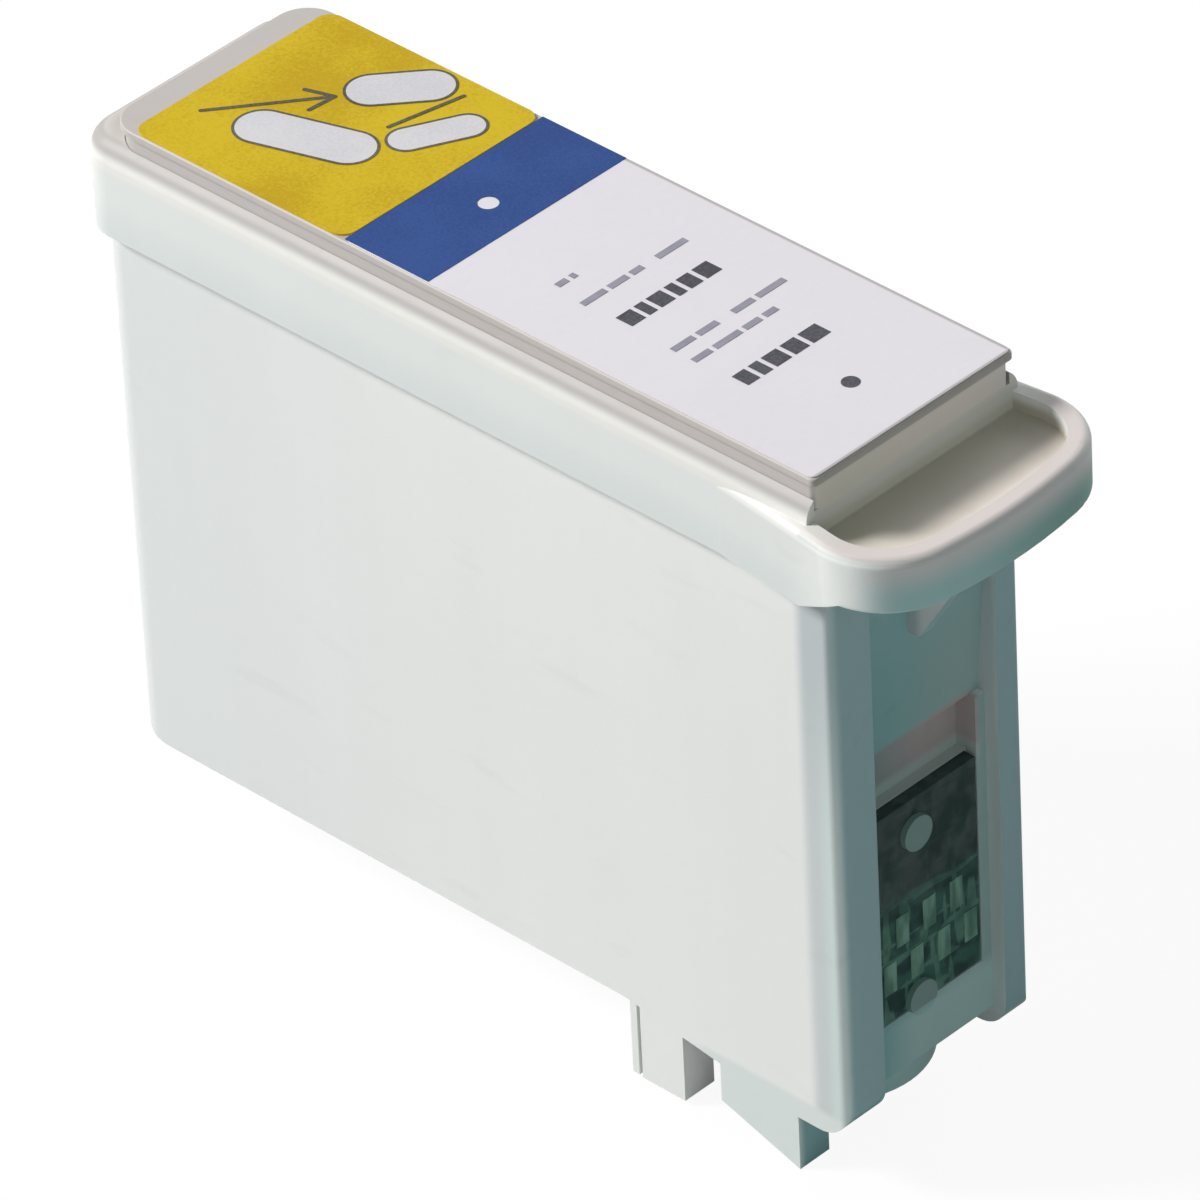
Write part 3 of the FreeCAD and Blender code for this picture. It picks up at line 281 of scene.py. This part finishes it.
def front_shade_colour(graph):
    """The front strips, the channel and apron between them, all painted cool and dark as shade,
    with a painted highlight along the near edge, and the guides further back.
    """
    channel = graph.blend(graph.y, -4.0 * MM, 6.0 * MM, CHANNEL_SHADE_NEAR, CHANNEL_SHADE_FAR)
    channel = graph.blend(graph.z, 34.0 * MM, 50.0 * MM, channel, CHANNEL_SHADE_TOP)
    in_apron = graph.all_of(
        graph.ramp(graph.z, BOARD_LOW[2] + 0.4 * MM, BOARD_LOW[2] - 1.2 * MM),
        graph.ramp(graph.y, -5.5 * MM, 0.0), 0.8,
    )
    channel = graph.mix(in_apron, channel, APRON_SHADE)
    in_channel = graph.all_of(
        graph.ramp(graph.x, FRONT_X - 0.1 * MM, FRONT_X - 0.3 * MM),
        graph.ramp(graph.x, FRONT_X - 6.0 * MM, FRONT_X - 4.0 * MM),
    )
    front = graph.mix(in_channel, FRONT_STRIP_SHADE, channel)
    # A painted highlight along the front's near edge, stronger low down
    edge_highlight = graph.all_of(
        graph.ramp(graph.y, 1.1 * MM - SIDE_Y, -SIDE_Y), graph.line(graph.lower, 0.55, 0.4),
    )
    front = graph.mix(edge_highlight, front, FRONT_EDGE_HIGHLIGHT)
    return graph.blend(graph.x, GUIDE_X + 4.0 * MM, GUIDE_X + 2.0 * MM, front, GUIDE_FRONT)


def around_board(graph, colour):
    """The colour with painted shade in the slot above the contact board, a painted highlight on
    the ledge just above the board, and the heads of the pins that hold it.
    """
    # Painted shade in the slot above the board, under the pocket's overhanging top
    slot_shade_share = graph.all_of(
        graph.within(graph.z, BOARD_HIGH[2], BOARD_HIGH[2] + 4.8 * MM, 0.6 * MM),
        graph.within(graph.y, BOARD_LOW[1], BOARD_HIGH[1], 0.8 * MM),
        graph.ramp(graph.x, FRONT_X - 7.0 * MM, FRONT_X - 5.0 * MM), 0.85,
    )
    slot = graph.blend(graph.y, -3.0 * MM, 3.0 * MM, SLOT_SHADE_NEAR, SLOT_SHADE_FAR)
    # A painted highlight on the ledge just above the board's top edge
    ledge_highlight_share = graph.ramp(graph.z, BOARD_HIGH[2] + 1.4 * MM, BOARD_HIGH[2] + 0.6 * MM)
    slot = graph.mix(graph.all_of(ledge_highlight_share, 0.8), slot, LEDGE_HIGHLIGHT)
    colour = graph.mix(slot_shade_share, colour, slot)
    on_pins = graph.all_of(
        graph.ramp(graph.x, BOARD_HIGH[0] - 0.1 * MM, BOARD_HIGH[0]),
        graph.within(graph.y, BOARD_LOW[1], BOARD_HIGH[1], 0.1 * MM),
        graph.within(graph.z, BOARD_LOW[2], BOARD_HIGH[2], 0.1 * MM),
    )
    return graph.mix(on_pins, colour, PIN_HEADS)


def collar_side_colour(graph):
    """The collar's and lip's upright sides, with painted shade making them cooler and darker low
    down, and paler towards the lip.
    """
    side = graph.blend(graph.z, COLLAR_Z, COLLAR_Z + 4.0 * MM, COLLAR_SHADE_LOW, COLLAR_HIGH)
    return graph.blend(graph.x, FRONT_X - 3.0 * MM, FRONT_X + 4.0 * MM, side, LIP_SIDE)


def collar_colour(graph, side):
    """The collar: its side, a shoulder painted cream low down as a highlight then beige higher up
    as shade, a beige top, and an olive end with painted shade low down.
    """
    # A painted highlight low on the shoulder and painted shade on its upper, rounded part
    shoulder = graph.blend(
        graph.z, SHOULDER_Z + 0.5 * MM, SHOULDER_Z + 1.3 * MM, SHOULDER_HIGHLIGHT, SHOULDER_SHADE,
    )
    collar = graph.blend(graph.z, SHOULDER_Z - 0.6 * MM, SHOULDER_Z, side, shoulder)
    collar = graph.blend(
        graph.z, COLLAR_TOP_Z - 0.3 * MM, COLLAR_TOP_Z - 0.1 * MM, collar, COLLAR_TOP,
    )
    # Painted shade low on the collar's end, in the corner above the shelf
    end_wall = graph.blend(graph.z, SHELF_Z - 0.5 * MM, COLLAR_TOP_Z, END_WALL_SHADE_LOW, END_WALL_HIGH)
    return graph.mix(graph.faces_front, collar, end_wall)


def lip_colour(graph, side):
    """The lip: its side, a front with painted shade that turns it cool and dark lower down and on
    the far side, a rosy rim, and a shelf painted brown near the collar as the painted shadow of
    the collar and cover.
    """
    # Painted shade on the lip's front, lower down and darker on the far side
    low_front_shade = graph.blend(graph.y, -6.0 * MM, 6.0 * MM, LIP_FRONT_SHADE_NEAR, LIP_FRONT_SHADE_FAR)
    front = graph.blend(
        graph.z, LIP_TOP_Z - 0.4 * MM, LIP_LOW_Z + 1.0 * MM, LIP_FRONT_HIGH, low_front_shade,
    )
    lip = graph.mix(graph.faces_front, side, front)
    rim = graph.blend(graph.x, LIP_START_X, LIP_START_X + 4.0 * MM, RIM_REAR, RIM_FRONT)
    lip = graph.mix(graph.faces_up, lip, rim)
    # A painted shadow of the collar and cover on the shelf, fading towards the rim
    shelf = graph.blend(
        graph.x, LIP_START_X + 1.0 * MM, LIP_START_X + 7.0 * MM, SHELF_SHADOW, SHELF_FRONT,
    )
    outward = graph.line(
        graph.normal_x, graph.math("SUBTRACT", graph.x, SHELF_X),
        graph.math("MULTIPLY", graph.normal_y, graph.y),
    )
    in_shelf = graph.all_of(
        graph.ramp(outward, 1.5 * MM, 0.2 * MM),
        graph.ramp(graph.z, LIP_TOP_Z - 0.2 * MM, SHELF_Z + 0.4 * MM),
    )
    return graph.mix(in_shelf, lip, shelf)


def facing_light_tone(graph):
    """A factor that greys the lip's flared side and edge, which turn towards the key light."""
    on_flare = graph.all_of(
        graph.ramp(graph.normal_x, -0.03, -0.10),
        graph.ramp(graph.x, FLARE_START_X, FLARE_START_X + 2.0 * MM),
        graph.faces_near, graph.above_walls,
    )
    on_edge = graph.all_of(
        graph.within(graph.normal_z, 0.5, 0.8, 0.15),
        graph.ramp(graph.normal_y, -0.2, -0.4),
        graph.in_lip, graph.above_walls,
    )
    return graph.line(on_flare, -0.07, graph.line(on_edge, -0.16, 1.0))


def tank_material():
    graph = TankGraph()
    # The front faces take the front's painted shade
    below = graph.mix(graph.faces_front, wall_colour(graph), front_shade_colour(graph))
    below = around_board(graph, below)
    side = collar_side_colour(graph)
    upper = graph.mix(graph.in_lip, collar_colour(graph, side), lip_colour(graph, side))
    colour = graph.mix(graph.above_walls, below, upper)
    moulded(graph, graph.scaled(colour, facing_light_tone(graph)), 0.48)
    return graph.material


# The other nodes

def cover_material():
    """The cover's beige plastic, with its front faces painted paler as painted light, and a
    painted shadow under the label's front edge.
    """
    graph = Graph("cover_plastic")
    faces_front = graph.ramp(graph.normal_x, 0.4, 0.9)
    # A painted shadow under the label's front edge, on the cover's front face
    label_edge_shadow = graph.ramp(graph.z, COVER_HIGH[2] - 1.1 * MM, COVER_HIGH[2] - 0.3 * MM)
    # Painted light: the front faces are painted paler than the cover's top and sides
    front = graph.blend(
        graph.y, -8.0 * MM, 8.0 * MM, rgb(0.70, 0.67, 0.59), rgb(0.78, 0.72, 0.68),
    )
    front = graph.mix(graph.all_of(label_edge_shadow, 0.8), front, rgb(0.30, 0.29, 0.27))
    moulded(graph, graph.mix(faces_front, rgb(0.51, 0.478, 0.46), front), 0.45)
    return graph.material


def label_material():
    """Satin paper label with a faint cloud of tint, fibres, and a dark line along its far and
    front edges, partly the grey cut edge and partly painted shade.
    """
    graph = Graph("label_paper")
    cloud = graph.ramp(graph.noise(90.0, 2.0), 0.35, 0.65)
    fibre = graph.noise(2600.0, 4.0, (1.0, 0.35, 1.0))
    paper = graph.mix(cloud, rgb(0.745, 0.71, 0.765), rgb(0.755, 0.73, 0.77))
    # A dark line along the far and front edges, partly the grey cut edge and partly painted shade
    far_edge = graph.ramp(graph.y, LABEL_HIGH[1] - 0.35 * MM, LABEL_HIGH[1] - 0.15 * MM)
    front_edge = graph.ramp(graph.x, LABEL_HIGH[0] - 0.3 * MM, LABEL_HIGH[0] - 0.1 * MM)
    label_edge_shade = graph.all_of(graph.math("MAXIMUM", far_edge, front_edge), 0.7)
    paper = graph.mix(label_edge_shade, paper, rgb(0.30, 0.30, 0.27))
    graph.set(Base_Color=graph.scaled(paper, graph.line(fibre, 0.05, 0.975)))
    graph.set(Roughness=graph.line(fibre, 0.12, 0.46), Specular_IOR_Level=0.4)
    graph.bump((graph.noise(350.0, 2.0), 0.10, 0.04 * MM), (fibre, 0.12, 0.01 * MM))
    return graph.material


def printed(name, low, high, roughness=0.45, specular=0.3):
    """Printing ink with the fine, uneven cover of a press."""
    graph = Graph(name)
    speckle = graph.noise(5200.0, 2.0)
    cloud = graph.noise(160.0, 3.0)
    share = graph.line(speckle, 0.55, graph.math("MULTIPLY", cloud, 0.45))
    graph.set(
        Base_Color=graph.blend(share, 0.35, 0.65, low, high),
        Roughness=graph.line(cloud, 0.14, roughness - 0.07),
        Specular_IOR_Level=specular,
    )
    graph.bump((speckle, 0.08, 0.01 * MM))
    return graph


def row_print_material():
    """The print's bold rows in near black, and its fine rows in a paler grey."""
    graph = printed("label_ink", rgb(0.03, 0.03, 0.04), rgb(0.08, 0.08, 0.10))
    field_length = LABEL_HIGH[0] - BAND_HIGH[0]
    along = graph.math("DIVIDE", graph.math("SUBTRACT", graph.x, BAND_HIGH[0]), field_length)
    first_bold = graph.within(along, 0.34, 0.42, 0.01)
    last_bold = graph.within(along, 0.64, 0.9, 0.01)
    dark = graph.shader.inputs["Base Color"].links[0].from_socket
    pale = graph.mix(graph.noise(900.0), rgb(0.22, 0.22, 0.27), rgb(0.34, 0.33, 0.40))
    bold = graph.math("MAXIMUM", first_bold, last_bold)
    graph.set(Base_Color=graph.mix(bold, pale, dark))
    return graph.material


def tape_material():
    """Yellow film with a mottled tone and faint creases."""
    graph = Graph("tape_film")
    cloud = graph.noise(110.0, 3.0)
    crease = graph.noise(75.0, 4.0, (1.0, 2.6, 1.0))
    speckle = graph.noise(4800.0, 2.0)
    share = graph.line(speckle, 0.4, graph.math("MULTIPLY", cloud, 0.6))
    graph.set(
        Base_Color=graph.blend(share, 0.38, 0.62, rgb(0.52, 0.34, 0.003), rgb(0.64, 0.46, 0.013)),
        Roughness=graph.line(cloud, 0.16, 0.34),
        Specular_IOR_Level=0.15,
    )
    graph.bump((crease, 0.22, 0.08 * MM), (speckle, 0.05, 0.01 * MM))
    return graph.material


def board_material():
    """Dark solder resist, greener and crossed by uneven copper runs in its lower part."""
    graph = Graph("board_resist")
    upright = graph.ramp(graph.noise(1000.0, 1.0, (1.0, 1.0, 0.16)), 0.53, 0.57)
    across = graph.ramp(graph.noise(900.0, 1.0, (1.0, 0.14, 1.0)), 0.57, 0.61)
    traces = graph.math("MAXIMUM", upright, across)
    low = graph.ramp(graph.z, BOARD_LOW[2] + 10.5 * MM, BOARD_LOW[2] + 7.5 * MM)
    cloud = graph.ramp(graph.noise(600.0, 3.0), 0.35, 0.65)
    dark = graph.mix(cloud, rgb(0.020, 0.044, 0.040), rgb(0.055, 0.078, 0.076))
    green = graph.mix(cloud, rgb(0.015, 0.045, 0.040), rgb(0.040, 0.120, 0.095))
    copper = graph.mix(cloud, rgb(0.055, 0.145, 0.11), rgb(0.105, 0.23, 0.175))
    share = graph.all_of(traces, graph.line(low, 0.75, 0.10))
    graph.set(
        Base_Color=graph.mix(share, graph.mix(low, dark, green), copper),
        Roughness=graph.line(cloud, 0.12, 0.34),
        Specular_IOR_Level=0.2,
    )
    graph.bump((traces, 0.25, 0.03 * MM), (graph.noise(3000.0), 0.06, 0.01 * MM))
    return graph.material


def contact_material():
    """Gold contacts dulled to a pale green, rubbed unevenly by the socket's springs."""
    graph = Graph("contact_metal")
    rub = graph.noise(900.0, 3.0, (1.0, 1.0, 0.3))
    graph.set(
        Base_Color=graph.blend(rub, 0.35, 0.68, rgb(0.075, 0.18, 0.13), rgb(0.20, 0.385, 0.30)),
        Roughness=graph.line(rub, 0.3, 0.25),
        Metallic=0.25,
    )
    graph.bump((rub, 0.15, 0.01 * MM))
    return graph.material


def plain_stuff(name, low, high, roughness, scale, relief=0.2):
    """A quiet material for what is mostly out of sight."""
    graph = Graph(name)
    coarse = graph.noise(scale, 3.0)
    fine = graph.noise(scale * 5.0)
    graph.set(
        Base_Color=graph.blend(coarse, 0.3, 0.7, low, high),
        Roughness=graph.line(coarse, 0.14, roughness - 0.07),
    )
    graph.bump((coarse, relief, 0.03 * MM), (fine, relief * 0.4, 0.01 * MM))
    return graph.material


def foil(name):
    return plain_stuff(name, rgb(0.66, 0.70, 0.72), rgb(0.74, 0.77, 0.78), 0.28, 240.0, 0.5)


MATERIALS = {
    "tank": tank_material(),
    "cover": cover_material(),
    "ink_foam": plain_stuff(
        "foam", rgb(0.010, 0.010, 0.012), rgb(0.05, 0.05, 0.055), 0.9, 1800.0, 0.8,
    ),
    "outlet_filter": plain_stuff(
        "filter_mesh", rgb(0.36, 0.36, 0.35), rgb(0.5, 0.5, 0.48), 0.4, 6000.0, 0.6,
    ),
    "outlet_seal": plain_stuff(
        "seal_rubber", rgb(0.05, 0.05, 0.055), rgb(0.085, 0.085, 0.09), 0.62, 900.0,
    ),
    "outlet_film": foil("outlet_foil"),
    "vent_film": foil("vent_foil"),
    "chip_board": board_material(),
    "chip_contacts": contact_material(),
    "chip_die": plain_stuff(
        "die_resin", rgb(0.008, 0.008, 0.008), rgb(0.02, 0.02, 0.02), 0.3, 500.0,
    ),
    "top_label": label_material(),
    "label_band": printed(
        "blue_ink", rgb(0.010, 0.048, 0.205), rgb(0.020, 0.068, 0.255), specular=0.2,
    ).material,
    "label_print": row_print_material(),
    "pull_tape": tape_material(),
    "tape_print_pale": printed(
        "pale_ink", rgb(0.60, 0.585, 0.62), rgb(0.67, 0.66, 0.69),
    ).material,
    "tape_print_dark": printed(
        "dark_ink", rgb(0.05, 0.045, 0.03), rgb(0.13, 0.11, 0.06),
    ).material,
}
for name, material in MATERIALS.items():
    mesh = NODES[name].data
    mesh.materials.clear()
    mesh.materials.append(material)


# Floor

FLOOR_WIDTH = 6.0
FLOOR_GLOW = 0.92


def seen_directly(tree, also=()):
    """1 for the camera's own rays, and for the other kinds of ray that are named."""
    path = tree.nodes.new("ShaderNodeLightPath")
    share = path.outputs["Is Camera Ray"]
    for name in also:
        both = tree.nodes.new("ShaderNodeMath")
        both.operation = "MAXIMUM"
        tree.links.new(share, both.inputs[0])
        tree.links.new(path.outputs[name], both.inputs[1])
        share = both.outputs[0]
    return share


def floor_material():
    """A pale floor that the camera sees as white, with a light shadow kept."""
    graph = Graph("floor")
    seen = seen_directly(graph.tree)
    graph.set(
        Base_Color=graph.mix(seen, rgb(0.5, 0.5, 0.5), rgb(1.0, 1.0, 1.0)),
        Roughness=0.95,
        Specular_IOR_Level=0.1,
    )
    glow = graph.tree.nodes.new("ShaderNodeEmission")
    glow.inputs["Color"].default_value = rgb(1.0, 1.0, 1.0)
    glow.inputs["Strength"].default_value = 1.0
    blend = graph.tree.nodes.new("ShaderNodeMixShader")
    graph.link(graph.math("MULTIPLY", seen, FLOOR_GLOW), blend.inputs[0])
    graph.link(graph.shader.outputs[0], blend.inputs[1])
    graph.link(glow.outputs[0], blend.inputs[2])
    graph.link(blend.outputs[0], graph.output.inputs[0])
    return graph.material


bpy.ops.mesh.primitive_plane_add(size=FLOOR_WIDTH, location=(0, 0, 0))
floor = bpy.context.object
floor.name = "floor"
floor.data.materials.append(floor_material())


# Light

LAMP_AIM = Vector((0, 0, 0.03))


def area_light(name, toward, distance, width, power, colour):
    """A round soft lamp at a distance in one direction, facing the part."""
    lamp = bpy.data.lights.new(name, "AREA")
    lamp.shape = "DISK"
    lamp.size = width
    lamp.energy = power
    lamp.color = colour
    item = bpy.data.objects.new(name, lamp)
    bpy.context.collection.objects.link(item)
    item.location = Vector(toward).normalized() * distance + LAMP_AIM
    item.rotation_euler = Vector(toward).to_track_quat("Z", "Y").to_euler()


area_light("key", (-0.60, -0.53, 0.60), 1.4, 0.40, 23.0, (1.0, 0.985, 0.965))
area_light("fill", (1.0, -0.25, 0.35), 1.6, 1.0, 3.0, (0.80, 0.96, 1.0))
area_light("back", (-0.25, 1.0, 0.35), 1.6, 1.0, 10.0, (0.97, 0.99, 1.0))


def background(nodes, colour, strength):
    node = nodes.new("ShaderNodeBackground")
    node.inputs["Color"].default_value = colour
    node.inputs["Strength"].default_value = strength
    return node.outputs[0]


def studio_world():
    """A low ambient light, and a white surround for the camera and for reflections."""
    world = bpy.data.worlds.new("studio")
    world.use_nodes = True
    nodes = world.node_tree.nodes
    links = world.node_tree.links
    nodes.clear()
    output = nodes.new("ShaderNodeOutputWorld")
    mixer = nodes.new("ShaderNodeMixShader")
    shown = seen_directly(world.node_tree, ("Is Glossy Ray", "Is Transmission Ray"))
    links.new(shown, mixer.inputs[0])
    links.new(background(nodes, rgb(0.92, 0.98, 1.0), 0.165), mixer.inputs[1])
    links.new(background(nodes, rgb(1.0, 1.0, 1.0), 1.0), mixer.inputs[2])
    links.new(mixer.outputs[0], output.inputs[0])
    return world


bpy.context.scene.world = studio_world()


# Camera, fitted to the photograph's straight edges

RIGHT = (0.72407062, 0.68846189, -0.04173689)
DOWN = (0.38056638, -0.44925171, -0.80829582)
FORWARD = (-0.57523124, 0.56937959, -0.58729541)
PLACE = (0.4764008, -0.4717574, 0.5175283)
FOCAL_PIXELS = 12180.6
PHOTO_PIXELS = 1200.0
SENSOR = 36.0

lens = bpy.data.cameras.new("camera")
lens.sensor_width = SENSOR
lens.lens = SENSOR * FOCAL_PIXELS / PHOTO_PIXELS
lens.clip_start = 0.05
camera = bpy.data.objects.new("camera", lens)
bpy.context.collection.objects.link(camera)
up = tuple(-value for value in DOWN)
backward = tuple(-value for value in FORWARD)
turn = Matrix((RIGHT, up, backward)).transposed()
camera.matrix_world = Matrix.Translation(PLACE) @ turn.to_4x4()
bpy.context.scene.camera = camera

bpy.context.scene.view_settings.view_transform = "Standard"
